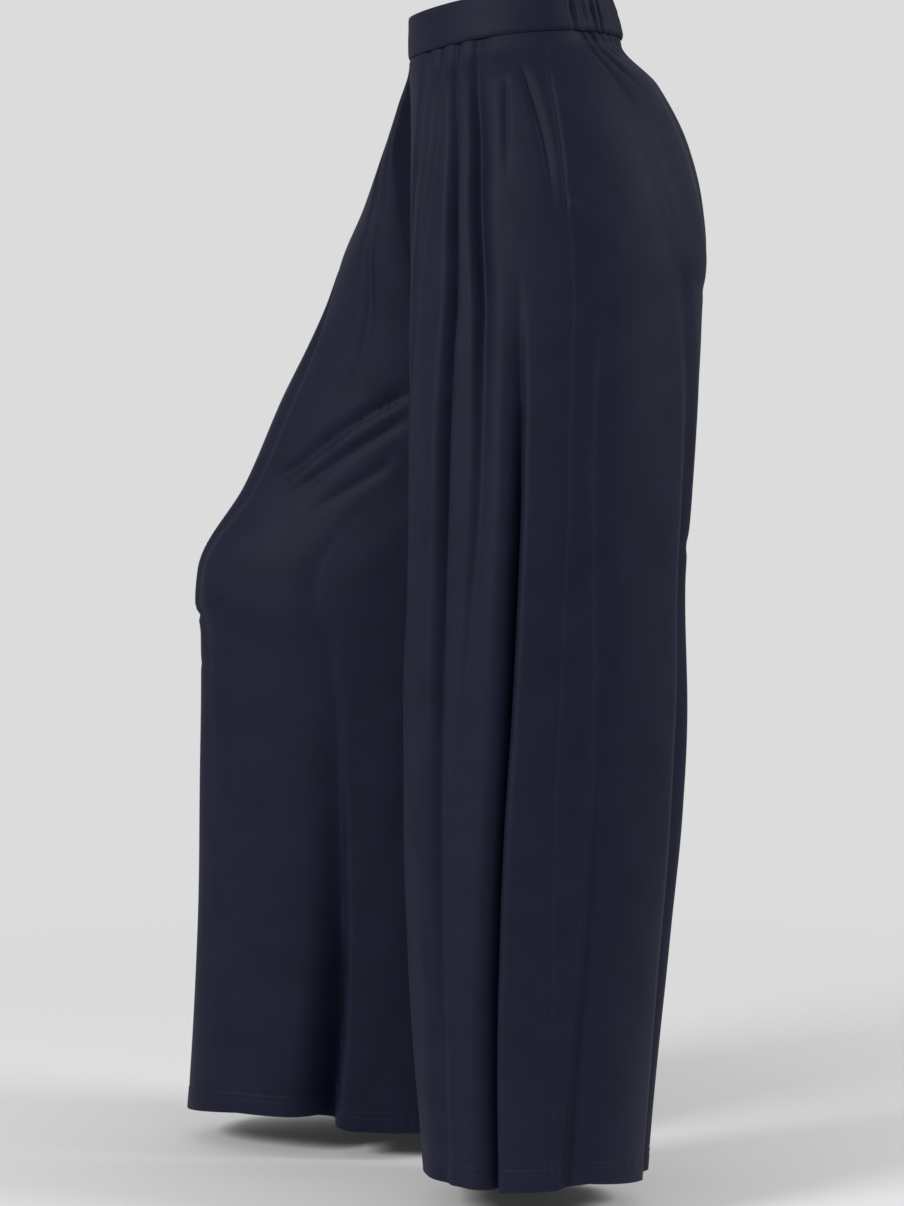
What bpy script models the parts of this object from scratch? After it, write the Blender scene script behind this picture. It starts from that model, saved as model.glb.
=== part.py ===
"""Palazzo pants, worn: two pleated front legs, two back legs and a two-part waistband."""
import math

import bpy
import numpy as np

# Driving sizes, in metres. Row frame: the wearer faces -Y, the wearer's left is +X, +Z is up.
CLOTH = 0.0016  # wall of a leg piece
BAND = 0.0030  # wall of the doubled waistband
SEAM_GAP = 0.0003  # space left between two sewn pieces
BAND_HIGH = 0.036
CROTCH_Z = -0.335
HEM_Z = -1.010
BAND_JOIN = 0.021  # the elastic back band starts this far behind the side seam
GATHERS = 11  # ripples of each half of the elastic band
GATHER_DEEP = 0.0016

# Sections of a leg as quarter ovals: inner front F, front A, side seam S, back K, inner back B.
# Columns: z, F.y, A.x, A.y, S.x, S.y, K.x, K.y, B.y, inner x (x is outward from the middle).
LEFT_SECTIONS = (
    (-0.020, -.0935, .002, -.0935, .126, .0250, .002, .0960, .0960, .000),
    (-0.025, -.0935, .002, -.0935, .126, .0250, .002, .0960, .0960, .000),
    (-0.060, -.0925, .020, -.0922, .147, .0290, .030, .1280, .1260, .000),
    (-0.110, -.0900, .040, -.0918, .165, .0375, .050, .1540, .1500, .000),
    (-0.160, -.0850, .058, -.0918, .176, .0425, .064, .1660, .1580, .000),
    (-0.205, -.0780, .070, -.0918, .183, .0460, .074, .1703, .1580, .000),
    (-0.250, -.0660, .080, -.0925, .189, .0475, .082, .1650, .1420, .000),
    (-0.290, -.0460, .088, -.0930, .194, .0460, .090, .1630, .1080, .000),
    (-0.315, -.0240, .093, -.0933, .197, .0455, .095, .1615, .0660, .000),
    (-0.335, .0120, .097, -.0937, .199, .0450, .098, .1605, .0120, .000),
    (-0.420, .0130, .105, -.0950, .208, .0435, .108, .1545, .0130, .004),
    (-0.500, .0140, .108, -.0968, .214, .0405, .112, .1495, .0140, .007),
    (-0.600, .0150, .112, -.1004, .221, .0370, .117, .1517, .0150, .010),
    (-0.700, .0160, .117, -.1003, .229, .0330, .122, .1475, .0160, .013),
    (-0.800, .0170, .122, -.0975, .237, .0310, .127, .1380, .0170, .015),
    (-0.900, .0180, .127, -.0908, .245, .0300, .132, .1280, .0180, .017),
    (-1.010, .0190, .132, -.0810, .254, .0305, .137, .1190, .0190, .019),
)
RIGHT_SECTIONS = (
    (-0.020, -.0935, .002, -.0935, .126, .0250, .002, .0960, .0960, .000),
    (-0.025, -.0935, .002, -.0935, .126, .0250, .002, .0960, .0960, .000),
    (-0.060, -.0925, .030, -.1040, .147, .0270, .030, .1260, .1260, .000),
    (-0.110, -.0900, .060, -.1195, .165, .0300, .050, .1520, .1500, .000),
    (-0.160, -.0850, .085, -.1360, .177, .0250, .064, .1620, .1580, .000),
    (-0.205, -.0780, .100, -.1560, .185, .0150, .074, .1640, .1580, .000),
    (-0.250, -.0660, .110, -.1720, .192, .0030, .082, .1590, .1420, .000),
    (-0.290, -.0460, .115, -.1900, .197, -.0100, .090, .1520, .1080, .000),
    (-0.315, -.0240, .117, -.2025, .200, -.0180, .095, .1460, .0660, .000),
    (-0.335, .0120, .118, -.2125, .202, -.0250, .098, .1400, .0120, .000),
    (-0.420, -.0200, .120, -.2500, .207, -.0550, .108, .1120, -.0200, .006),
    (-0.500, -.0500, .121, -.2945, .211, -.0850, .112, .0860, -.0500, .010),
    (-0.530, -.0570, .121, -.2972, .212, -.0920, .114, .0780, -.0570, .011),
    (-0.560, -.0640, .122, -.2925, .213, -.0980, .115, .0710, -.0640, .012),
    (-0.600, -.0720, .122, -.2927, .215, -.1050, .117, .0640, -.0720, .014),
    (-0.700, -.0830, .123, -.2944, .219, -.1120, .120, .0520, -.0830, .018),
    (-0.800, -.0880, .124, -.2967, .223, -.1160, .122, .0450, -.0880, .021),
    (-0.900, -.0920, .126, -.3007, .227, -.1200, .124, .0400, -.0920, .024),
    (-1.010, -.0960, .128, -.3085, .231, -.1240, .126, .0360, -.0960, .027),
)

# Folds run down a leg. A place is the distance in mm round the leg from its side seam, with the
# front of the leg negative. Columns: six places and six depths in mm, one at each level; width
# before and after the crease at the waist and at the hem in mm; lap of its far side at the hem.
LEVELS = (-0.020, -0.100, -0.200, -0.350, -0.600, -1.010)
LEFT_FOLDS = (
    (-125, -157, -188, -205, -222, -228, 2, 5, 6, 5, 7, 8, 11, 9, 26, 22, 0),
    (-105, -128, -158, -179, -190, -187, 2, 6, 7, 6, 5, 5, 9, 9, 22, 20, 0),
    (-84, -100, -112, -116, -112, -110, 2, 8, 12, 12, 12, 4, 9, 9, 24, 14, 3),
    (-61, -74, -82, -80, -84, -88, 2, 7, 8, 5, 2, 1, 8, 17, 8, 12, 0),
    (-26, -36, -42, -37, -37, -40, 0, 0, 0, 9, 20, 27, 14, 8, 32, 13, 17),
    (12, 22, 30, 27, 34, 14, 0, 0, 0, 2, 3, 9, 6, 10, 8, 24, 0),
    (60, 80, 105, 135, 150, 150, 0, 2, 3, 7, 11, 14, 12, 12, 34, 24, 5),
    (115, 150, 178, 220, 245, 240, 0, 2, 3, 8, 13, 16, 14, 14, 30, 30, 0),
)
RIGHT_FOLDS = (
    (-125, -222, -290, -335, -335, -335, 2, 5, 4, 0, 0, 0, 11, 9, 20, 20, 0),
    (-105, -145, -205, -257, -262, -262, 2, 6, 6, 5, 1, 0, 9, 9, 24, 20, 0),
    (-84, -110, -140, -165, -170, -165, 2, 8, 11, 9, 8, 10, 9, 9, 26, 22, 3),
    (-61, -78, -98, -110, -110, -106, 2, 7, 8, 5, 6, 8, 8, 16, 22, 26, 0),
    (-165, -245, -318, -402, -398, -402, 0, 0, 0, 0, 2, 30, 8, 12, 10, 38, 8),
    (-30, -36, -45, -48, -48, -46, 0, 0, 0, 4, 10, 18, 8, 10, 28, 18, 10),
    (60, 80, 110, 140, 145, 140, 0, 2, 3, 8, 13, 17, 12, 12, 32, 26, 8),
    (115, 150, 185, 240, 265, 265, 0, 2, 3, 9, 14, 18, 14, 14, 30, 34, 0),
)

# Height of the hem edge over HEM_Z, in mm, by share of the leg: -1 inner front, 0 side seam,
# 1 inner back.
LEFT_HEM = ((-1, -10), (-.7, -10), (-.45, -2), (-.1, 0), (.1, 9), (.4, -5), (.7, -9), (1, -10))
RIGHT_HEM = ((-1, -10), (-.88, -9), (-.8, 2), (-.65, 2), (-.5, -6), (-.1, -4), (.4, -6), (1, -10))

ROWS = (-.020, -.025, -.045, -.075, -.110, -.150, -.195, -.235, -.270, -.298, -.318, -.330, -.335,
        -.370, -.430, -.490, -.530, -.570, -.660, -.760, -.860, -.940, -1.010)

# Columns of each leg piece: a fold's number and a place in its widths, or None and a share of
# the leg.
LEFT_FRONT = (
    (None, -1), (None, -.985), (None, -.90), (None, -.81), (0, -1), (0, 0), (0, .7), (1, -.7),
    (1, 0), (1, .7), (2, -.7), (2, 0), (2, .7), (3, -.8), (3, 0), (3, .6), (3, 1.1), (4, -1),
    (4, -.45), (4, 0), (4, .5), (4, 1.1), (None, -.015), (None, 0))
LEFT_BACK = (
    (None, 0), (None, .015), (5, 0), (5, .5), (5, 1.2), (6, -1.7), (6, -.9), (6, -.4), (6, 0),
    (6, .5), (6, 1.2), (7, -.9), (7, -.4), (7, 0), (7, .5), (7, 1.1), (None, .93),
    (None, .985), (None, 1))
RIGHT_FRONT = (
    (None, -1), (None, -.988), (4, -1.2), (4, 0), (4, .45), (4, 1), (0, 0),
    (1, -1.2), (1, -.6), (1, 0), (1, .7), (2, -.7), (2, 0), (2, .7), (3, -.7), (3, 0), (3, .5),
    (3, 1), (5, -.9), (5, -.4), (5, 0), (5, .5), (None, -.015), (None, 0))
RIGHT_BACK = (
    (None, 0), (None, .015), (None, .09), (6, -1.7), (6, -.9), (6, -.4), (6, 0), (6, .5),
    (6, 1.2), (7, -1), (7, -.4), (7, 0), (7, .5), (7, 1.1), (None, .86), (None, .94),
    (None, .988), (None, 1))

OVAL = np.linspace(0.0, math.pi / 2, 41)


def clear_scene():
    for obj in list(bpy.data.objects):
        bpy.data.objects.remove(obj, do_unlink=True)


def ease(value):
    """Smooth step from 0 to 1."""
    k = np.clip(value, 0.0, 1.0)
    return k * k * (3.0 - 2.0 * k)


def through(places, values, at):
    """Values of a smooth curve through table rows, with no overshoot between them."""
    order = np.argsort(places)
    place = np.asarray(places, float)[order]
    value = np.asarray(values, float)[order]
    at = np.clip(at, place[0], place[-1])
    step = np.diff(place)
    slope = np.diff(value, axis=0) / step.reshape((-1,) + (1,) * (value.ndim - 1))
    bend = np.zeros_like(value)
    bend[0] = slope[0]
    bend[-1] = slope[-1]
    for i in range(1, len(place) - 1):
        before = slope[i - 1]
        after = slope[i]
        heavy = 2 * step[i] + step[i - 1]
        light = step[i] + 2 * step[i - 1]
        same = before * after > 0
        safe_b = np.where(same, before, 1.0)
        safe_a = np.where(same, after, 1.0)
        bend[i] = np.where(same, (heavy + light) / (heavy / safe_b + light / safe_a), 0.0)
    i = int(np.clip(np.searchsorted(place, at) - 1, 0, len(place) - 2))
    k = (at - place[i]) / step[i]
    low = (1 + 2 * k) * (1 - k) ** 2 * value[i] + k * (1 - k) ** 2 * step[i] * bend[i]
    high = k * k * (3 - 2 * k) * value[i + 1] + k * k * (k - 1) * step[i] * bend[i + 1]
    return low + high


def inner_bend(z, out_y, edge_y):
    """Power that squares an inner quarter oval, so it rounds evenly past the crotch."""
    if abs(out_y - edge_y) < 0.004:
        return 1.0
    middle = edge_y if z <= CROTCH_Z else 0.012
    goal = out_y + 0.293 * ease((-z - 0.05) / 0.42) * (middle - out_y)
    part = (goal - edge_y) / (out_y - edge_y)
    return math.log(min(max(part, 0.6), 0.95)) / math.log(math.sqrt(0.5))


def section(sections, z):
    """Fine outline of a leg section, inner front to inner back, and its running length."""
    table = np.array(sections)
    f_y, a_x, a_y, s_x, s_y, k_x, k_y, b_y, in_x = through(table[:, 0], table[:, 1:], z)
    if z <= CROTCH_Z:
        f_y = b_y = (f_y + b_y) / 2
    cos = np.maximum(np.cos(OVAL), 0.0)
    sin = np.sin(OVAL)
    quarters = (
        (a_x + (in_x - a_x) * cos, f_y + (a_y - f_y) * sin ** inner_bend(z, a_y, f_y)),
        (a_x + (s_x - a_x) * sin, s_y + (a_y - s_y) * cos),
        (k_x + (s_x - k_x) * cos, s_y + (k_y - s_y) * sin),
        (k_x + (in_x - k_x) * sin, b_y + (k_y - b_y) * cos ** inner_bend(z, k_y, b_y)),
    )
    xs = np.concatenate([q[0][(0 if n == 0 else 1):] for n, q in enumerate(quarters)])
    ys = np.concatenate([q[1][(0 if n == 0 else 1):] for n, q in enumerate(quarters)])
    run = np.concatenate([[0.0], np.cumsum(np.hypot(np.diff(xs), np.diff(ys)))])
    seam = run[2 * (len(OVAL) - 1)]
    return xs, ys, run, seam


def on_outline(xs, ys, run, at):
    """Points at running lengths of an outline, and the direction it runs there."""
    way_x = np.interp(at + 0.002, run, xs) - np.interp(at - 0.002, run, xs)
    way_y = np.interp(at + 0.002, run, ys) - np.interp(at - 0.002, run, ys)
    size = np.hypot(way_x, way_y)
    return np.interp(at, run, xs), np.interp(at, run, ys), way_x / size, way_y / size


def fold_at(fold, z):
    """Place, depth, widths before and after, and lap of a fold at height z, in metres."""
    place = float(through(LEVELS, fold[0:6], z)) / 1000
    deep = float(through(LEVELS, fold[6:12], z)) / 1000
    down = (z - LEVELS[0]) / (LEVELS[-1] - LEVELS[0])
    before = (fold[12] + (fold[14] - fold[12]) * down) / 1000
    after = (fold[13] + (fold[15] - fold[13]) * down) / 1000
    return place, deep, before, after, fold[16] / 1000 * ease(down * 1.3)


def crease(gap, before, after):
    """Soft-shouldered trough, 1 deep at the crease and 0 beyond its widths."""
    reach = np.where(gap < 0, before, after)
    away = np.sqrt((gap / reach) ** 2 + 0.02) - 0.14
    return np.clip(1.0 - away, 0.0, 1.0) ** 2


def columns(marks, folds, sections, z):
    """Running lengths of a piece's columns at height z, each set by the fold it follows."""
    xs, ys, run, seam = section(sections, z)
    places = []
    for number, offset in marks:
        if number is None:
            reach = seam if offset < 0 else run[-1] - seam
            places.append(seam + offset * reach)
            continue
        place, deep, before, after, lap = fold_at(folds[number], z)
        places.append(seam + place + offset * (before if offset < 0 else after))
    places = np.array(places)
    if marks[0][1] == 0:
        places[0] += SEAM_GAP / 2
    else:
        places[-1] -= SEAM_GAP / 2
    return places


def seam_height(y):
    """Height of the waistband's lower edge: 20 mm lower at the front than at the back."""
    return -0.011 - 0.8 * (0.06 - y) ** 2


def leg_row(side, sections, folds, hem, z, at):
    """Points of one section of a leg at running lengths from its inner front edge."""
    xs, ys, run, seam = section(sections, z)
    total = run[-1]
    x, y, way_x, way_y = on_outline(xs, ys, run, at)
    top = seam_height(y) - SEAM_GAP / 2 - LEVELS[0]
    out = np.zeros_like(x)
    slide = np.zeros_like(x)
    for fold in folds:
        place, deep, before, after, lap = fold_at(fold, z)
        gap = at - seam - place
        out -= deep * crease(gap, before, after)
        slide -= lap * np.exp(-((gap - after) / (1.5 * after)) ** 2)
    inner = ease(at / 0.030) * ease((total - at) / 0.030)
    x = x + (way_y * out + way_x * slide) * inner
    y = y + (-way_x * out + way_y * slide) * inner
    share = np.where(at < seam, at / seam - 1, (at - seam) / (total - seam))
    rise = np.interp(share, [h[0] for h in hem], [h[1] for h in hem]) / 1000
    level = z + top * ease((z + 0.16) / 0.14) + rise * ease((-0.60 - z) / 0.41)
    gap = SEAM_GAP / 2
    front = share[0] == -1
    end = 0 if front else -1
    near = 1 if front else -2
    lean = abs(y[near] - y[end]) / math.hypot(x[near] - x[end], y[near] - y[end])
    x[end] = max(x[end], gap + CLOTH / 2 * lean + 0.0001)
    x = np.maximum(x, min(x[end], gap + CLOTH / 2))
    if z <= CROTCH_Z:
        y[end] += -gap if front else gap
    return np.stack([side * x, y, level], axis=1)


def cloth(name, rings, wall, collection, material, flip):
    """A thin wall laid on rings of points, each ring one row of the piece."""
    high = len(rings)
    wide = len(rings[0])
    verts = [tuple(float(v) for v in p) for ring in rings for p in ring]
    faces = []
    for r in range(high - 1):
        for c in range(wide - 1):
            a = r * wide + c
            quad = (a, a + wide, a + wide + 1, a + 1)
            faces.append(quad[::-1] if flip else quad)
    mesh = bpy.data.meshes.new(name)
    mesh.from_pydata(verts, [], faces)
    mesh.update()
    obj = bpy.data.objects.new(name, mesh)
    collection.objects.link(obj)
    shell = obj.modifiers.new("wall", "SOLIDIFY")
    shell.thickness = wall
    shell.offset = 0.0
    shell.use_even_offset = False
    shell.use_rim = True
    obj.data.materials.append(material)
    return obj


def leg_piece(name, side, sections, folds, hem, marks, collection, material):
    rings = []
    for z in ROWS:
        at = columns(marks, folds, sections, z)
        rings.append(leg_row(side, sections, folds, hem, z, at))
    return cloth(name, rings, CLOTH, collection, material, side < 0)


def band_ring(places, level, ripple):
    """Ring of the waistband by length from centre front: level 0 is its lower edge, 1 its upper."""
    xs, ys, run, seam = section(LEFT_SECTIONS, LEVELS[0])
    total = run[-1]
    places = np.asarray(places, float)
    side = np.where((places >= 0) & (places <= total), 1.0, -1.0)
    own = np.where(places < 0, -places, np.where(places > total, 2 * total - places, places))
    x, y, way_x, way_y = on_outline(xs, ys, run, own)
    z = seam_height(y) + SEAM_GAP / 2 + BAND_HIGH * level
    above = max(0.0, level - 0.08) / 0.92
    wave = 0.0
    if ripple:
        along = (own - seam - BAND_JOIN) / (total - seam - BAND_JOIN)
        wave = GATHER_DEEP * ease(along * 15) * np.cos(2 * math.pi * GATHERS * along)
    x = x * (1.0 - 0.035 * above) + way_y * wave
    y = y - 0.010 * above * np.maximum(0.0, y / 0.096) - way_x * wave
    return np.stack([side * x, y, z], axis=1)


def band_piece(name, places, ripple, collection, material):
    rings = [band_ring(places, level, ripple) for level in (1.0, 0.08, 0.0)]
    return cloth(name, rings, BAND, collection, material, False)


def main():
    clear_scene()
    collection = bpy.data.collections.new("palazzo_pants")
    bpy.context.scene.collection.children.link(collection)
    jersey = bpy.data.materials.new("navy_jersey")
    jersey.use_nodes = True
    shader = jersey.node_tree.nodes["Principled BSDF"]
    shader.inputs["Base Color"].default_value = (0.0150, 0.0168, 0.0273, 1.0)
    shader.inputs["Roughness"].default_value = 0.8
    xs, ys, run, seam = section(LEFT_SECTIONS, LEVELS[0])
    reach = seam + BAND_JOIN - SEAM_GAP / 2
    front = [-reach, *np.linspace(0.0015 - reach, reach - 0.0015, 51), reach]
    start = seam + BAND_JOIN + SEAM_GAP / 2
    end = 2 * run[-1] - start
    back = [start, *np.linspace(start + 0.0015, end - 0.0015, 8 * GATHERS + 1), end]
    band_piece("waistband_front", front, False, collection, jersey)
    band_piece("waistband_back", back, True, collection, jersey)
    left = (1, LEFT_SECTIONS, LEFT_FOLDS, LEFT_HEM)
    right = (-1, RIGHT_SECTIONS, RIGHT_FOLDS, RIGHT_HEM)
    leg_piece("front_left", *left, LEFT_FRONT, collection, jersey)
    leg_piece("back_left", *left, LEFT_BACK, collection, jersey)
    leg_piece("front_right", *right, RIGHT_FRONT, collection, jersey)
    leg_piece("back_right", *right, RIGHT_BACK, collection, jersey)


main()
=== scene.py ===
import math

import bpy
import numpy as np
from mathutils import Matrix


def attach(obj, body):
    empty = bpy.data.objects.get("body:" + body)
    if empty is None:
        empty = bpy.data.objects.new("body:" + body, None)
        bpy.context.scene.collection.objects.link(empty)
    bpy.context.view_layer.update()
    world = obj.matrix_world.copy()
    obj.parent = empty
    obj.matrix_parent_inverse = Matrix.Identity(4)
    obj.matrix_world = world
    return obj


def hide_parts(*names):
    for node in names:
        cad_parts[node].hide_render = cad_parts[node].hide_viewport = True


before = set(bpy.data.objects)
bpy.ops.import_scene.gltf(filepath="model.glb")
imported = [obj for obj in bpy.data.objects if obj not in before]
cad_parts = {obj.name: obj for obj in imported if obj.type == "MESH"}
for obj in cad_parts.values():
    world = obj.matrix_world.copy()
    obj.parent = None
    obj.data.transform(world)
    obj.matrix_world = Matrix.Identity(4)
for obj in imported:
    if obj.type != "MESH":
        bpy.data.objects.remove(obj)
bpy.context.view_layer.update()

# Palazzo pants worn by a standing wearer with the right knee forward.
# The wearer faces -Y and the wearer's left is +X. Lengths are metres unless a name says mm.
CLOTH = 0.0013  # the finished jersey
BAND = 0.0030  # the doubled waistband
SEAM_GAP = 0.00006
BAND_HIGH = 0.036
CROTCH_Z = -0.335
HEM_Z = -1.010
BAND_JOIN = 0.021
FLOOR_Z = -1.046
HEM_TURN = 0.0195  # the upper stitch row over the hem edge
TWIN = 0.0045  # between the two needle rows
INSEAM_LAP = 0.0002  # each inseam edge runs this far past the seam, so no light shows
POCKET_TOP = -0.036
POCKET_END = -0.168
GATHERS = 11  # ripples of each half of the elastic band
GATHER_DEEP = 0.0017
EDGE_IN = 0.008  # even columns start this far in from a seam
EYE = (3.4, -0.0556, -0.229)
EYE_DOWN = 4.92  # degrees below level
LENS_MM = 111.6
WALE_SCALE = 1000 / 0.9 / 20  # ripples 5.7 mm apart across the cloth
COURSE_SCALE = 1000 / 0.7 / 20  # ripples 4.4 mm apart down the cloth

# Sections of a leg as quarter ovals: inner front F, front A, side seam S, back K, inner back B.
# Columns: z, F.y, A.x, A.y, S.x, S.y, K.x, K.y, B.y, inner x.
LEFT_SECTIONS = (
    (-0.020, -.0935, .002, -.0935, .126, .0250, .002, .0960, .0960, .000),
    (-0.025, -.0935, .002, -.0935, .126, .0250, .002, .0960, .0960, .000),
    (-0.060, -.0925, .020, -.0922, .147, .0290, .030, .1280, .1260, .000),
    (-0.110, -.0900, .040, -.0918, .165, .0375, .050, .1540, .1500, .000),
    (-0.160, -.0850, .058, -.0918, .176, .0425, .064, .1660, .1580, .000),
    (-0.205, -.0780, .070, -.0918, .183, .0460, .074, .1703, .1580, .000),
    (-0.250, -.0660, .080, -.0925, .189, .0475, .082, .1650, .1420, .000),
    (-0.290, -.0460, .088, -.0930, .194, .0460, .090, .1630, .1080, .000),
    (-0.315, -.0240, .093, -.0933, .197, .0455, .095, .1615, .0660, .000),
    (-0.335, .0120, .097, -.0937, .199, .0450, .098, .1605, .0120, .000),
    (-0.420, .0130, .105, -.0950, .208, .0435, .108, .1545, .0130, .004),
    (-0.500, .0140, .108, -.0968, .214, .0405, .112, .1495, .0140, .007),
    (-0.600, .0150, .112, -.1004, .221, .0370, .117, .1517, .0150, .010),
    (-0.700, .0160, .117, -.1003, .229, .0330, .122, .1475, .0160, .013),
    (-0.800, .0170, .122, -.0975, .237, .0310, .127, .1380, .0170, .015),
    (-0.900, .0180, .127, -.0908, .245, .0300, .132, .1280, .0180, .017),
    (-1.010, .0190, .132, -.0810, .254, .0305, .137, .1190, .0190, .019),
)
RIGHT_SECTIONS = (
    (-0.020, -.0935, .002, -.0935, .126, .0250, .002, .0960, .0960, .000),
    (-0.025, -.0935, .002, -.0935, .126, .0250, .002, .0960, .0960, .000),
    (-0.060, -.0925, .030, -.1040, .147, .0270, .030, .1260, .1260, .000),
    (-0.110, -.0900, .060, -.1195, .165, .0300, .050, .1520, .1500, .000),
    (-0.160, -.0850, .085, -.1360, .177, .0250, .064, .1620, .1580, .000),
    (-0.205, -.0780, .100, -.1560, .185, .0150, .074, .1640, .1580, .000),
    (-0.250, -.0660, .110, -.1720, .192, .0030, .082, .1590, .1420, .000),
    (-0.290, -.0460, .115, -.1900, .197, -.0100, .090, .1520, .1080, .000),
    (-0.315, -.0240, .117, -.2025, .200, -.0180, .095, .1460, .0660, .000),
    (-0.335, .0120, .118, -.2125, .202, -.0250, .098, .1400, .0120, .000),
    (-0.420, -.0200, .120, -.2500, .207, -.0550, .108, .1120, -.0200, .006),
    (-0.500, -.0500, .121, -.2945, .211, -.0850, .112, .0860, -.0500, .010),
    (-0.530, -.0570, .121, -.2972, .212, -.0920, .114, .0780, -.0570, .011),
    (-0.560, -.0640, .122, -.2925, .213, -.0980, .115, .0710, -.0640, .012),
    (-0.600, -.0720, .122, -.2927, .215, -.1050, .117, .0640, -.0720, .014),
    (-0.700, -.0830, .123, -.2944, .219, -.1120, .120, .0520, -.0830, .018),
    (-0.800, -.0880, .124, -.2967, .223, -.1160, .122, .0450, -.0880, .021),
    (-0.900, -.0920, .126, -.3007, .227, -.1200, .124, .0400, -.0920, .024),
    (-1.010, -.0960, .128, -.3085, .231, -.1240, .126, .0360, -.0960, .027),
)

# Long folds. A place is the distance in mm round the leg from its side seam, front negative.
# Columns: six places and six depths in mm, one at each level; width before and after the crease
# at the waist and at the hem in mm; lap of its far side at the hem; sharpness 0 soft to 1.
LEVELS = (-0.020, -0.100, -0.200, -0.350, -0.600, -1.010)
LEFT_FOLDS = (
    (-125, -157, -188, -205, -222, -228, 3, 6, 7, 6, 8, 9, 9, 8, 26, 22, 0, .9),
    (-105, -128, -158, -179, -190, -187, 3, 6, 7, 6, 5, 5, 8, 8, 22, 20, 0, .7),
    (-84, -100, -112, -116, -112, -110, 3, 8, 12, 12, 12, 4, 8, 8, 24, 14, 3, .9),
    (-61, -74, -82, -80, -84, -88, 3, 8, 9, 6, 2, 1, 8, 17, 10, 12, 0, .5),
    (-26, -36, -42, -37, -37, -40, 0, 0, 0, 9, 20, 27, 14, 8, 32, 13, 17, .9),
    (12, 22, 30, 27, 34, 14, 0, 0, 0, 2, 3, 9, 6, 10, 8, 24, 0, .4),
    (60, 80, 105, 135, 150, 150, 0, 2, 3, 7, 11, 14, 12, 12, 34, 24, 5, .3),
    (115, 150, 178, 220, 245, 240, 0, 2, 3, 8, 13, 16, 14, 14, 30, 30, 0, .3),
)
RIGHT_FOLDS = (
    (-125, -222, -290, -335, -335, -335, 3, 7, 6, 1, 0, 0, 9, 8, 20, 20, 0, .8),
    (-105, -145, -205, -257, -262, -262, 3, 6, 6, 5, 1, 0, 8, 8, 24, 20, 0, .7),
    (-84, -110, -140, -165, -170, -165, 3, 9, 13, 11, 8, 10, 8, 8, 26, 22, 3, .9),
    (-61, -78, -98, -110, -110, -106, 3, 7, 8, 5, 6, 8, 7, 16, 22, 26, 0, .6),
    (-165, -245, -318, -402, -398, -402, 0, 0, 0, 0, 2, 30, 8, 12, 10, 38, 8, .8),
    (-30, -36, -45, -48, -48, -46, 0, 0, 0, 4, 10, 18, 8, 10, 28, 18, 10, .7),
    (60, 80, 110, 140, 145, 140, 0, 2, 3, 8, 13, 17, 12, 12, 32, 26, 8, .3),
    (115, 150, 185, 240, 265, 265, 0, 2, 3, 9, 14, 18, 14, 14, 30, 34, 0, .3),
)

# Short creases. Columns: place and height in mm of the start and of the end, bow, depth, width
# before and after, in mm. A negative depth is a ridge.
LEFT_CREASES = (
    (-36, -52, -50, -145, 2, 2.2, 5, 7),
    (-26, -36, -12, -182, -4, 3.4, 9, 5),
    (47, -18, 108, -74, 4, 4.2, 5, 6),
    (38, -22, 90, -88, 3, 3.6, 6, 5),
    (62, -18, 96, -46, 2, 2.4, 4, 4),
    (78, -18, 108, -42, 2, 2.2, 4, 4),
    (96, -18, 118, -40, 1, 2.4, 4, 5),
    (112, -18, 130, -52, 1, 2.6, 4, 5),
    (128, -18, 140, -46, 1, 2.0, 4, 4),
    (143, -18, 152, -40, 0, 2.2, 4, 4),
    (1, -143, 24, -166, 2, 1.6, 4, 3),
    (2, -158, 20, -180, 2, -1.2, 3, 3),
    (3, -165, 17, -188, 1, 1.2, 3, 3),
    (120, -226, 190, -236, 5, 1.4, 12, 9),
    (140, -452, 226, -466, 6, 1.6, 14, 10),
    (-300, -340, -210, -400, -8, 3.5, 9, 8),
    (-318, -372, -240, -436, -8, 2.6, 8, 8),
    (310, -330, 236, -392, 8, 3.2, 9, 8),
)
RIGHT_CREASES = (
    (-404, -322, -284, -434, -8, 5.6, 12, 8),
    (-412, -347, -302, -449, -7, 4.6, 10, 8),
    (-408, -392, -342, -452, -4, 3.2, 9, 7),
    (-330, -392, -262, -438, -5, 2.0, 8, 6),
    (-312, -528, -196, -546, 5, 3.2, 8, 5),
    (-300, -575, -210, -590, 3, 1.2, 8, 7),
    (-214, -352, -120, -452, 6, 3.6, 10, 8),
    (-190, -398, -110, -486, 6, 2.8, 9, 8),
    (47, -18, 108, -74, 4, 4.0, 5, 6),
    (38, -22, 92, -90, 3, 3.2, 6, 5),
    (64, -18, 96, -46, 2, 2.4, 4, 4),
    (82, -18, 110, -44, 2, 2.2, 4, 4),
    (100, -18, 122, -40, 1, 2.4, 4, 5),
    (118, -18, 134, -50, 1, 2.6, 4, 5),
    (135, -18, 146, -44, 0, 2.2, 4, 4),
    (130, -292, 240, -330, 7, 4.2, 12, 8),
    (150, -330, 262, -376, 8, 3.4, 11, 8),
    (330, -345, 250, -420, 8, 3.4, 10, 8),
)
LEFT_HEM = ((-1, -10), (-.7, -10), (-.45, -2), (-.1, 0), (.1, 9), (.4, -5), (.7, -9), (1, -10))
RIGHT_HEM = ((-1, -10), (-.88, -9), (-.8, 2), (-.65, 2), (-.5, -6), (-.1, -4), (.4, -6), (1, -10))

COLUMNS = 168
ROWS = np.concatenate([
    np.linspace(-0.020, -0.062, 18),
    np.linspace(-0.066, -0.345, 66),
    np.linspace(-0.350, -0.980, 112),
    np.linspace(-0.984, HEM_Z, 24),
])
EDGE_STEPS = np.array([0.0, 0.0012, 0.0024, 0.0038, 0.0055])
OVAL = np.linspace(0.0, math.pi / 2, 65)


def ease(value):
    """Smooth step from 0 to 1."""
    k = np.clip(value, 0.0, 1.0)
    return k * k * (3.0 - 2.0 * k)


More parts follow.
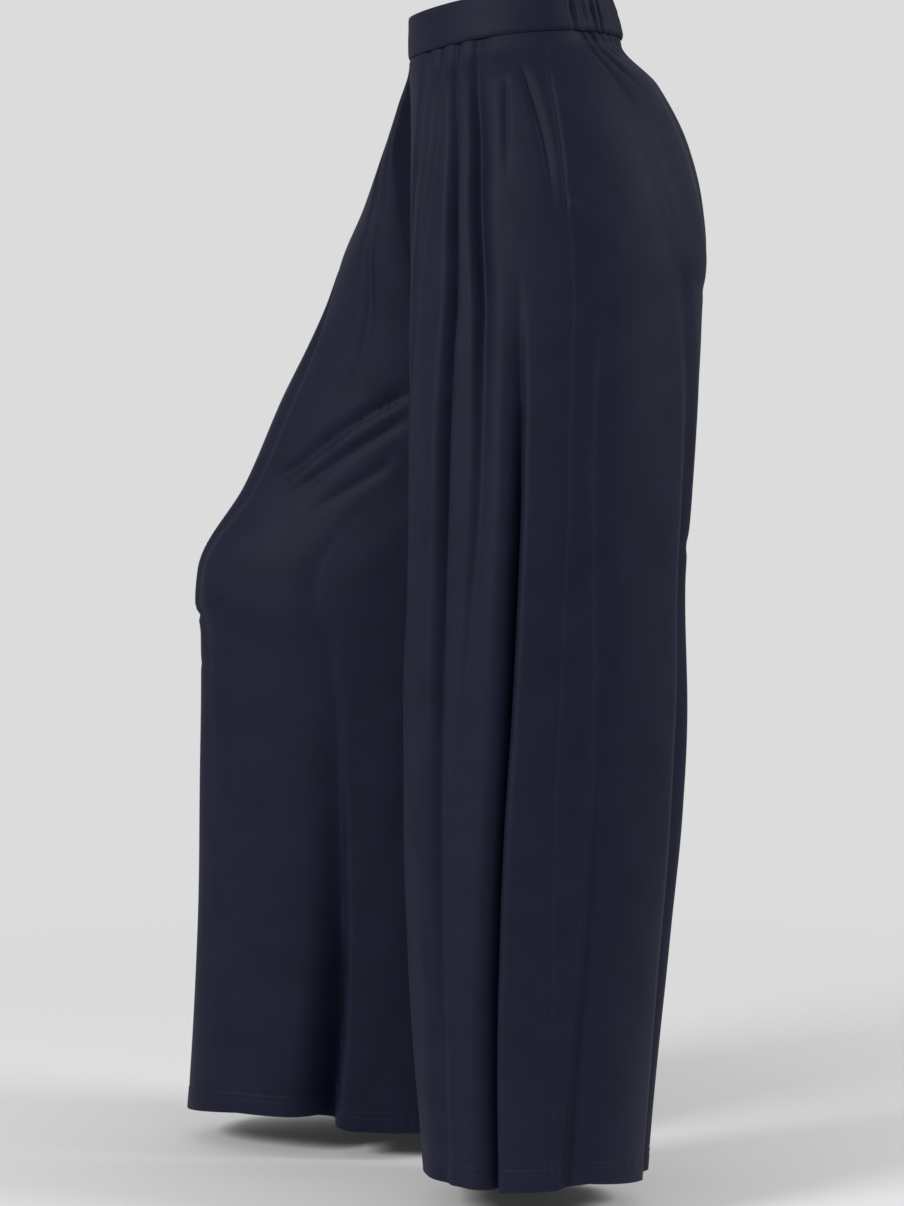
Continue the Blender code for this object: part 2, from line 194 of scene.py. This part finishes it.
def slopes(places, values):
    """Slopes at table rows of a curve with no overshoot between them."""
    step = np.diff(places)
    slope = np.diff(values, axis=0) / step[:, None]
    bend = np.zeros_like(values)
    bend[0] = slope[0]
    bend[-1] = slope[-1]
    heavy = (2 * step[1:] + step[:-1])[:, None]
    light = (step[1:] + 2 * step[:-1])[:, None]
    same = slope[:-1] * slope[1:] > 0
    before = np.where(same, slope[:-1], 1.0)
    after = np.where(same, slope[1:], 1.0)
    bend[1:-1] = np.where(same, (heavy + light) / (heavy / before + light / after), 0.0)
    return bend


class Curve:
    """Smooth values through table rows, read at any height."""

    def __init__(self, places, values):
        order = np.argsort(places)
        self.place = np.asarray(places, float)[order]
        self.value = np.asarray(values, float)[order]
        if self.value.ndim == 1:
            self.value = self.value[:, None]
        self.bend = slopes(self.place, self.value)

    def at(self, where):
        where = min(max(where, self.place[0]), self.place[-1])
        i = int(np.clip(np.searchsorted(self.place, where) - 1, 0, len(self.place) - 2))
        step = self.place[i + 1] - self.place[i]
        k = (where - self.place[i]) / step
        low_part = ((1 + 2 * k) * (1 - k) ** 2 * self.value[i]
                    + k * (1 - k) ** 2 * step * self.bend[i])
        high_part = (k * k * (3 - 2 * k) * self.value[i + 1]
                     + k * k * (k - 1) * step * self.bend[i + 1])
        return low_part + high_part


def inner_bend(z, out_y, edge_y):
    """Power that squares an inner quarter oval, so it rounds evenly past the crotch."""
    if abs(out_y - edge_y) < 0.004:
        return 1.0
    middle = edge_y if z <= CROTCH_Z else 0.012
    goal = out_y + 0.293 * ease((-z - 0.05) / 0.42) * (middle - out_y)
    part = (goal - edge_y) / (out_y - edge_y)
    return math.log(min(max(part, 0.6), 0.95)) / math.log(math.sqrt(0.5))


def section(curve, z):
    """Fine outline of a leg section, inner front to inner back, and its running length."""
    f_y, a_x, a_y, s_x, s_y, k_x, k_y, b_y, in_x = curve.at(z)
    if z <= CROTCH_Z:
        f_y = b_y = (f_y + b_y) / 2
    cos = np.maximum(np.cos(OVAL), 0.0)
    sin = np.sin(OVAL)
    quarters = (
        (a_x + (in_x - a_x) * cos, f_y + (a_y - f_y) * sin ** inner_bend(z, a_y, f_y)),
        (a_x + (s_x - a_x) * sin, s_y + (a_y - s_y) * cos),
        (k_x + (s_x - k_x) * cos, s_y + (k_y - s_y) * sin),
        (k_x + (in_x - k_x) * sin, b_y + (k_y - b_y) * cos ** inner_bend(z, k_y, b_y)),
    )
    xs = np.concatenate([q[0][(0 if n == 0 else 1):] for n, q in enumerate(quarters)])
    ys = np.concatenate([q[1][(0 if n == 0 else 1):] for n, q in enumerate(quarters)])
    run = np.concatenate([[0.0], np.cumsum(np.hypot(np.diff(xs), np.diff(ys)))])
    return xs, ys, run, run[2 * (len(OVAL) - 1)]


def on_outline(xs, ys, run, at):
    """Points at running lengths of an outline, and the direction it runs there."""
    way_x = np.interp(at + 0.003, run, xs) - np.interp(at - 0.003, run, xs)
    way_y = np.interp(at + 0.003, run, ys) - np.interp(at - 0.003, run, ys)
    size = np.hypot(way_x, way_y)
    return np.interp(at, run, xs), np.interp(at, run, ys), way_x / size, way_y / size


def trough(gap, before, after, sharp):
    """Soft-shouldered trough, 1 deep at the crease and 0 beyond its widths."""
    reach = np.where(gap < 0, before, after)
    round_off = 0.03 + 0.14 * (1 - sharp)
    away = np.sqrt((gap / reach) ** 2 + round_off) - math.sqrt(round_off)
    return np.clip(1.0 - away, 0.0, 1.0) ** 2


class Fold:
    """A long fold: where it lies, how deep and how wide at each height."""

    def __init__(self, row, number):
        self.place = Curve(LEVELS, [v / 1000 for v in row[0:6]])
        self.deep = Curve(LEVELS, [v / 1000 for v in row[6:12]])
        self.widths = [v / 1000 for v in row[12:16]]
        self.lap = row[16] / 1000
        self.sharp = row[17]
        self.phase = 1.7 * number

    def add(self, z, away, out, slide):
        """Adds the fold to the outward and sideways moves at distances from the side seam."""
        down = (z - LEVELS[0]) / (LEVELS[-1] - LEVELS[0])
        before = self.widths[0] + (self.widths[2] - self.widths[0]) * down
        after = self.widths[1] + (self.widths[3] - self.widths[1]) * down
        sway = 0.0022 * math.sin(9.0 * z + self.phase) * ease(down * 4)
        gap = away - float(self.place.at(z)[0]) - sway
        swell = 1.0 + 0.10 * math.sin(14.0 * z + 2.1 * self.phase)
        deep = float(self.deep.at(z)[0]) * swell
        out -= deep * trough(gap, before, after, self.sharp)
        lap = self.lap * ease(down * 1.3)
        slide -= lap * np.exp(-((gap - after) / (1.5 * after)) ** 2)


def add_crease(row, z, away, out):
    """Adds a short slanted crease to the outward moves."""
    s0, z0, s1, z1, bow, deep, before, after = (v / 1000 for v in row)
    long_s = s1 - s0
    long_z = z1 - z0
    length = math.hypot(long_s, long_z)
    reach = max(before, after)
    if z > max(z0, z1) + reach or z < min(z0, z1) - reach:
        return
    k = ((away - s0) * long_s + (z - z0) * long_z) / length ** 2
    side = ((away - s0) * long_z - (z - z0) * long_s) / length
    side = side - bow * 4 * k * (1 - k)
    fade = ease(k * 5 + (1.0 if z0 > -0.03 else 0.0)) * ease((1 - k) * 2.2)
    fade = np.where((k < -0.02) | (k > 1), 0.0, fade)
    if z0 > -0.03:
        fade = np.where(k < 0, ease(1 + k * 6), fade)
    out -= deep * fade * trough(side, before, after, 0.75)


def seam_height(y):
    """Height of the waistband's lower edge: 18 mm lower at the front than at the back."""
    return -0.011 - 0.8 * (0.06 - y) ** 2


def ripples(away, z):
    """Faint unevenness of hanging jersey, in metres, growing down the leg."""
    down = ease((-z - 0.06) / 0.5)
    wave = np.sin(away * 61 + 3.0 * z) * 0.00035 + np.sin(away * 33 - 5.1 * z + 1.3) * 0.0006
    return wave * down + 0.00025 * np.sin(away * 90 + 31 * z) * down


def hem_relief(over, away):
    """Outward shape of the turned hem with its two needle rows."""
    turned = 0.0005 * ease((HEM_TURN + 0.001 - over) / 0.002)
    rows = (np.exp(-((over - HEM_TURN) / 0.0011) ** 2)
            + np.exp(-((over - HEM_TURN + TWIN) / 0.0011) ** 2))
    pucker = np.sin(away * 520) * 0.6 + np.sin(away * 341 + 2.0) * 0.4
    near = np.exp(-((over - HEM_TURN + TWIN / 2) / 0.006) ** 2)
    return turned - 0.0005 * rows + 0.00018 * pucker * near


def leg_row(side, curve, folds, creases, hem, z, front):
    """Points and cloth coordinates of one row of a leg piece."""
    xs, ys, run, seam = section(curve, z)
    total = run[-1]
    reach = seam if front else total - seam
    middle = np.linspace(EDGE_IN, reach - EDGE_IN, COLUMNS)
    at = np.concatenate([EDGE_STEPS, middle, reach - EDGE_STEPS[::-1]])
    if front:
        at[-1] -= SEAM_GAP / 2
        side_gap = reach - at
        inner_gap = at
    else:
        at[0] += SEAM_GAP / 2
        side_gap = at.copy()
        inner_gap = reach - at
        at = at + seam
    x, y, way_x, way_y = on_outline(xs, ys, run, at)
    top = seam_height(y) - SEAM_GAP / 2 - LEVELS[0]
    away = at - seam
    out = np.zeros_like(x)
    slide = np.zeros_like(x)
    for fold in folds:
        fold.add(z, away, out, slide)
    for crease in creases:
        add_crease(crease, z, away, out)
    out += ripples(away, z)
    inner = ease(inner_gap / 0.030)
    out *= inner
    slide *= inner
    out += hem_relief(z - HEM_Z, away) * ease(inner_gap / 0.004)
    out -= 0.0007 * np.exp(-(side_gap / 0.0017) ** 2) * ease((-0.022 - z) / 0.01)
    out -= pocket_mouth(side_gap, z)
    out -= 0.0012 * np.exp(-((z + 0.0205) / 0.0022) ** 2)
    x = x + way_y * out + way_x * slide
    y = y - way_x * out + way_y * slide
    share = away / seam if front else away / (total - seam)
    rise = np.interp(share, [h[0] for h in hem], [h[1] for h in hem]) / 1000
    level = z + top * ease((z + 0.16) / 0.14) + rise * ease((-0.60 - z) / 0.41)
    gap = SEAM_GAP / 2
    end = 0 if front else -1
    near = 1 if front else -2
    lean = abs(y[near] - y[end]) / math.hypot(x[near] - x[end], y[near] - y[end])
    x[end] = max(x[end], gap + CLOTH / 2 * lean + 0.0001)
    x = np.maximum(x, min(x[end], gap + CLOTH / 2))
    if z <= CROTCH_Z:
        y[end] += INSEAM_LAP if front else -INSEAM_LAP
    points = np.stack([side * x, y, level], axis=1)
    return points, np.stack([away, np.full_like(away, z)], axis=1)


def deselect():
    """Clears the selection, which the frame's nodes hold after loading."""
    for obj in bpy.context.selected_objects:
        obj.select_set(False)


def pocket_mouth(side_gap, z):
    """Depth of the in-seam pocket's closed mouth along the side seam."""
    inside = ease((POCKET_TOP - z) / 0.006) * ease((z - POCKET_END) / 0.006)
    return 0.0011 * inside * np.exp(-(side_gap / 0.0026) ** 2)


def flat_cloth(name, wide, high):
    """A flat grid of cloth, wide points across and high points down."""
    deselect()
    bpy.ops.mesh.primitive_grid_add(x_subdivisions=wide - 1, y_subdivisions=high - 1, size=1)
    obj = bpy.context.active_object
    obj.name = name
    obj.data.name = name
    return obj


def lay(obj, points, cloth_uv, wall, material, flip):
    """Moves a flat grid's points to their places, then gives the cloth its thickness."""
    high, wide = points.shape[:2]
    mesh = obj.data
    flat = np.empty(len(mesh.vertices) * 3)
    mesh.vertices.foreach_get("co", flat)
    flat = flat.reshape(-1, 3)
    column = np.rint((flat[:, 0] + 0.5) * (wide - 1)).astype(int)
    row = high - 1 - np.rint((flat[:, 1] + 0.5) * (high - 1)).astype(int)
    mesh.vertices.foreach_set("co", points[row, column].astype(np.float32).ravel())
    corner = np.empty(len(mesh.loops), dtype=np.int32)
    mesh.loops.foreach_get("vertex_index", corner)
    uv = cloth_uv[row[corner], column[corner]].astype(np.float32)
    mesh.uv_layers.active.data.foreach_set("uv", uv.ravel())
    if flip:
        mesh.flip_normals()
    mesh.update()
    shell = obj.modifiers.new("wall", "SOLIDIFY")
    shell.thickness = wall
    shell.offset = 0.0
    shell.use_even_offset = False
    shell.use_rim = True
    bpy.ops.object.modifier_apply(modifier=shell.name)
    bpy.ops.object.shade_smooth_by_angle(angle=math.radians(50))
    mesh.materials.clear()
    mesh.materials.append(material)
    return obj


def leg_piece(name, node, side, sections, folds, creases, hem, front, material):
    """One leg piece, front or back: side is 1 for the left leg and -1 for the right."""
    curve = Curve([r[0] for r in sections], [r[1:] for r in sections])
    made = [Fold(row, n) for n, row in enumerate(folds)]
    rows = [leg_row(side, curve, made, creases, hem, z, front) for z in ROWS]
    points = np.stack([r[0] for r in rows])
    cloth_uv = np.stack([r[1] for r in rows])
    obj = flat_cloth(name, points.shape[1], points.shape[0])
    lay(obj, points, cloth_uv, CLOTH, material, side < 0)
    return finish_piece(obj, node)


def finish_piece(obj, node):
    """Ties a piece to the frame in place of its node."""
    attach(obj, "root")
    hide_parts(node)
    return obj


def band_points(places, levels, gathered):
    """Points of a waistband piece by length from centre front, row by row downwards."""
    curve = Curve([r[0] for r in LEFT_SECTIONS], [r[1:] for r in LEFT_SECTIONS])
    xs, ys, run, seam = section(curve, LEVELS[0])
    total = run[-1]
    side = np.where((places >= 0) & (places <= total), 1.0, -1.0)
    own = np.where(places < 0, -places, np.where(places > total, 2 * total - places, places))
    x, y, way_x, way_y = on_outline(xs, ys, run, own)
    rows = []
    for level in levels:
        z = seam_height(y) + SEAM_GAP / 2 + BAND_HIGH * level
        above = max(0.0, level - 0.08) / 0.92
        edge = min(level, 1 - level) * BAND_HIGH
        wave = -0.0007 * math.exp(-(edge / 0.0016) ** 2) * np.ones_like(own)
        if gathered:
            along = (own - seam - BAND_JOIN) / (total - seam - BAND_JOIN)
            turn = 2 * math.pi * GATHERS * (along + 0.010 * np.sin(along * 23) * side)
            uneven = 1.0 + 0.35 * np.sin(along * 17 + 1.0 + side)
            lift = 1.0 + 0.25 * math.cos(math.pi * 2 * (level - 0.5))
            ripple = GATHER_DEEP * ease(along * 15) * np.cos(turn + 0.5 * level) * uneven * lift
            wave = wave + ripple
            tunnel = math.exp(-((level - 0.5) / 0.07) ** 2)
            wave = wave - 0.0005 * tunnel
        else:
            wave = wave + 0.00025 * np.sin(own * 70 + 5 * level) * math.sin(math.pi * level)
        px = x * (1.0 - 0.035 * above) + way_y * wave
        py = y - 0.010 * above * np.maximum(0.0, y / 0.096) - way_x * wave
        rows.append(np.stack([side * px, py, z], axis=1))
    return np.stack(rows)


def band_piece(name, node, places, gathered, material):
    """One waistband piece over the given lengths from centre front."""
    levels = np.concatenate([[1.0, 0.985, 0.965], np.linspace(0.93, 0.07, 15),
                             [0.035, 0.015, 0.0]])
    points = band_points(places, levels, gathered)
    cloth_uv = np.zeros(points.shape[:2] + (2,))
    cloth_uv[:, :, 0] = places[None, :]
    cloth_uv[:, :, 1] = levels[:, None] * BAND_HIGH
    obj = flat_cloth(name, points.shape[1], points.shape[0])
    lay(obj, points, cloth_uv, BAND, material, False)
    return finish_piece(obj, node)


def linear(hex_colour):
    """Scene-linear colour of an sRGB hex string."""
    parts = [int(hex_colour[i:i + 2], 16) / 255 for i in (0, 2, 4)]
    parts = [c / 12.92 if c <= 0.04045 else ((c + 0.055) / 1.055) ** 2.4 for c in parts]
    return (*parts, 1.0)


def add(tree, kind, settings=(), links=()):
    """A node with its settings, input values and incoming links."""
    node = tree.nodes.new(kind)
    for key, value in dict(settings).items():
        if hasattr(node, key):
            setattr(node, key, value)
        else:
            node.inputs[key].default_value = value
    for socket, source in dict(links).items():
        tree.links.new(source, node.inputs[socket])
    return node


def jersey(name, cloth_hex, dark_hex):
    """Viscose jersey: a faint ribbed bump, a slight sheen and an uneven navy colour."""
    material = bpy.data.materials.new(name)
    material.use_nodes = True
    tree = material.node_tree
    shader = tree.nodes["Principled BSDF"]
    shader.inputs["Roughness"].default_value = 0.62
    shader.inputs["Specular IOR Level"].default_value = 0.14
    shader.inputs["Sheen Weight"].default_value = 0.012
    shader.inputs["Sheen Roughness"].default_value = 0.42
    shader.inputs["Sheen Tint"].default_value = linear("8a9bb8")
    uv = add(tree, "ShaderNodeUVMap")
    mottle = add(tree, "ShaderNodeTexNoise", {"Scale": 26.0, "Detail": 3.0, "Roughness": 0.55},
                 {"Vector": uv.outputs["UV"]})
    yarn = add(tree, "ShaderNodeTexNoise", {"Scale": 900.0, "Detail": 1.0},
               {"Vector": uv.outputs["UV"]})
    blend = add(tree, "ShaderNodeMath", {"operation": "MULTIPLY_ADD"},
                {0: yarn.outputs["Fac"], 2: mottle.outputs["Fac"]})
    blend.inputs[1].default_value = 0.35
    ramp = add(tree, "ShaderNodeValToRGB", {}, {"Fac": blend.outputs[0]})
    ramp.color_ramp.elements[0].position = 0.35
    ramp.color_ramp.elements[0].color = linear(dark_hex)
    ramp.color_ramp.elements[1].position = 1.0
    ramp.color_ramp.elements[1].color = linear(cloth_hex)
    tree.links.new(ramp.outputs["Color"], shader.inputs["Base Color"])
    wales = add(tree, "ShaderNodeTexWave",
                {"wave_type": "BANDS", "bands_direction": "X", "Scale": WALE_SCALE,
                 "Distortion": 0.4, "Detail": 1.0, "Detail Scale": 3.0},
                {"Vector": uv.outputs["UV"]})
    courses = add(tree, "ShaderNodeTexWave",
                  {"wave_type": "BANDS", "bands_direction": "Y", "Scale": COURSE_SCALE,
                   "Distortion": 0.6, "Detail": 1.0, "Detail Scale": 3.0},
                  {"Vector": uv.outputs["UV"]})
    knit = add(tree, "ShaderNodeMath", {"operation": "MULTIPLY"},
               {0: wales.outputs["Fac"], 1: courses.outputs["Fac"]})
    bump = add(tree, "ShaderNodeBump", {"Strength": 0.12, "Distance": 0.0002},
               {"Height": knit.outputs[0]})
    tree.links.new(bump.outputs["Normal"], shader.inputs["Normal"])
    return material


def plain(name, hex_colour, roughness):
    """A material of one colour."""
    material = bpy.data.materials.new(name)
    material.use_nodes = True
    shader = material.node_tree.nodes["Principled BSDF"]
    shader.inputs["Base Color"].default_value = linear(hex_colour)
    shader.inputs["Roughness"].default_value = roughness
    return material


def studio_floor():
    """A pale floor disc that fades out into the grey air."""
    deselect()
    bpy.ops.mesh.primitive_circle_add(vertices=96, radius=3.0, fill_type="NGON",
                                      location=(0, 0, FLOOR_Z))
    floor = bpy.context.active_object
    floor.name = "studio_floor"
    material = plain("studio_floor_paper", "f2f1f2", 0.8)
    tree = material.node_tree
    shader = tree.nodes["Principled BSDF"]
    output = tree.nodes["Material Output"]
    coords = add(tree, "ShaderNodeTexCoord")
    length = add(tree, "ShaderNodeVectorMath", {"operation": "LENGTH"},
                 {0: coords.outputs["Object"]})
    fade = add(tree, "ShaderNodeMapRange", {"From Min": 0.45, "From Max": 1.5},
               {"Value": length.outputs["Value"]})
    clear = add(tree, "ShaderNodeBsdfTransparent")
    mix = add(tree, "ShaderNodeMixShader", {},
              {0: fade.outputs["Result"], 1: shader.outputs["BSDF"], 2: clear.outputs["BSDF"]})
    tree.links.new(mix.outputs["Shader"], output.inputs["Surface"])
    floor.data.materials.append(material)


def area_light(name, place, aim, size, power):
    """A round lamp at a place, turned to its aim."""
    data = bpy.data.lights.new(name, "AREA")
    data.shape = "DISK"
    data.size = size
    data.energy = power
    light = bpy.data.objects.new(name, data)
    bpy.context.scene.collection.objects.link(light)
    light.location = place
    way = np.array(aim, float) - np.array(place, float)
    flat = math.hypot(way[0], way[1])
    turn = math.atan2(way[1], way[0]) - math.pi / 2
    light.rotation_euler = (math.atan2(flat, -way[2]), 0.0, turn)


def studio():
    """Grey air, floor, two lamps and the camera. The air lights less than it shows."""
    scene = bpy.context.scene
    scene.view_settings.view_transform = "Standard"
    world = bpy.data.worlds.new("studio_air")
    world.use_nodes = True
    air = world.node_tree.nodes["Background"]
    air.inputs["Color"].default_value = linear("dcdcdc")
    seen = add(world.node_tree, "ShaderNodeLightPath")
    strength = add(world.node_tree, "ShaderNodeMapRange", {"To Min": 0.62, "To Max": 1.0},
                   {"Value": seen.outputs["Is Camera Ray"]})
    world.node_tree.links.new(strength.outputs["Result"], air.inputs["Strength"])
    scene.world = world
    studio_floor()
    area_light("key", (2.0, -2.6, 1.0), (0, 0, -0.45), 1.2, 80.0)
    area_light("back_rim", (0.7, 2.6, 1.0), (0, 0, -0.4), 1.2, 46.0)
    camera = bpy.data.objects.new("camera", bpy.data.cameras.new("camera"))
    scene.collection.objects.link(camera)
    camera.data.lens = LENS_MM
    camera.location = EYE
    camera.rotation_euler = (math.radians(90 - EYE_DOWN), 0.0, math.radians(90))
    scene.camera = camera


cloth = jersey("navy_viscose_jersey", "171b30", "101325")
left = (1, LEFT_SECTIONS, LEFT_FOLDS, LEFT_CREASES, LEFT_HEM)
right = (-1, RIGHT_SECTIONS, RIGHT_FOLDS, RIGHT_CREASES, RIGHT_HEM)
for label, spec in (("left", left), ("right", right)):
    for part, is_front in (("front", True), ("back", False)):
        node = part + "_" + label
        leg_piece(node + "_leg", node, *spec, is_front, cloth)

ring = section(Curve([r[0] for r in LEFT_SECTIONS], [r[1:] for r in LEFT_SECTIONS]), LEVELS[0])
ring_seam = ring[3]
ring_total = ring[2][-1]
half = ring_seam + BAND_JOIN
front_places = np.concatenate([[-half + 0.00015], np.linspace(0.0014 - half, half - 0.0014, 150),
                               [half - 0.00015]])
back_places = np.concatenate([[half + 0.00015],
                              np.linspace(half + 0.0014, 2 * ring_total - half - 0.0014, 330),
                              [2 * ring_total - half - 0.00015]])
band_front = band_piece("front_band", "waistband_front", front_places, False, cloth)
band_back = band_piece("back_band", "waistband_back", back_places, True, cloth)

studio()
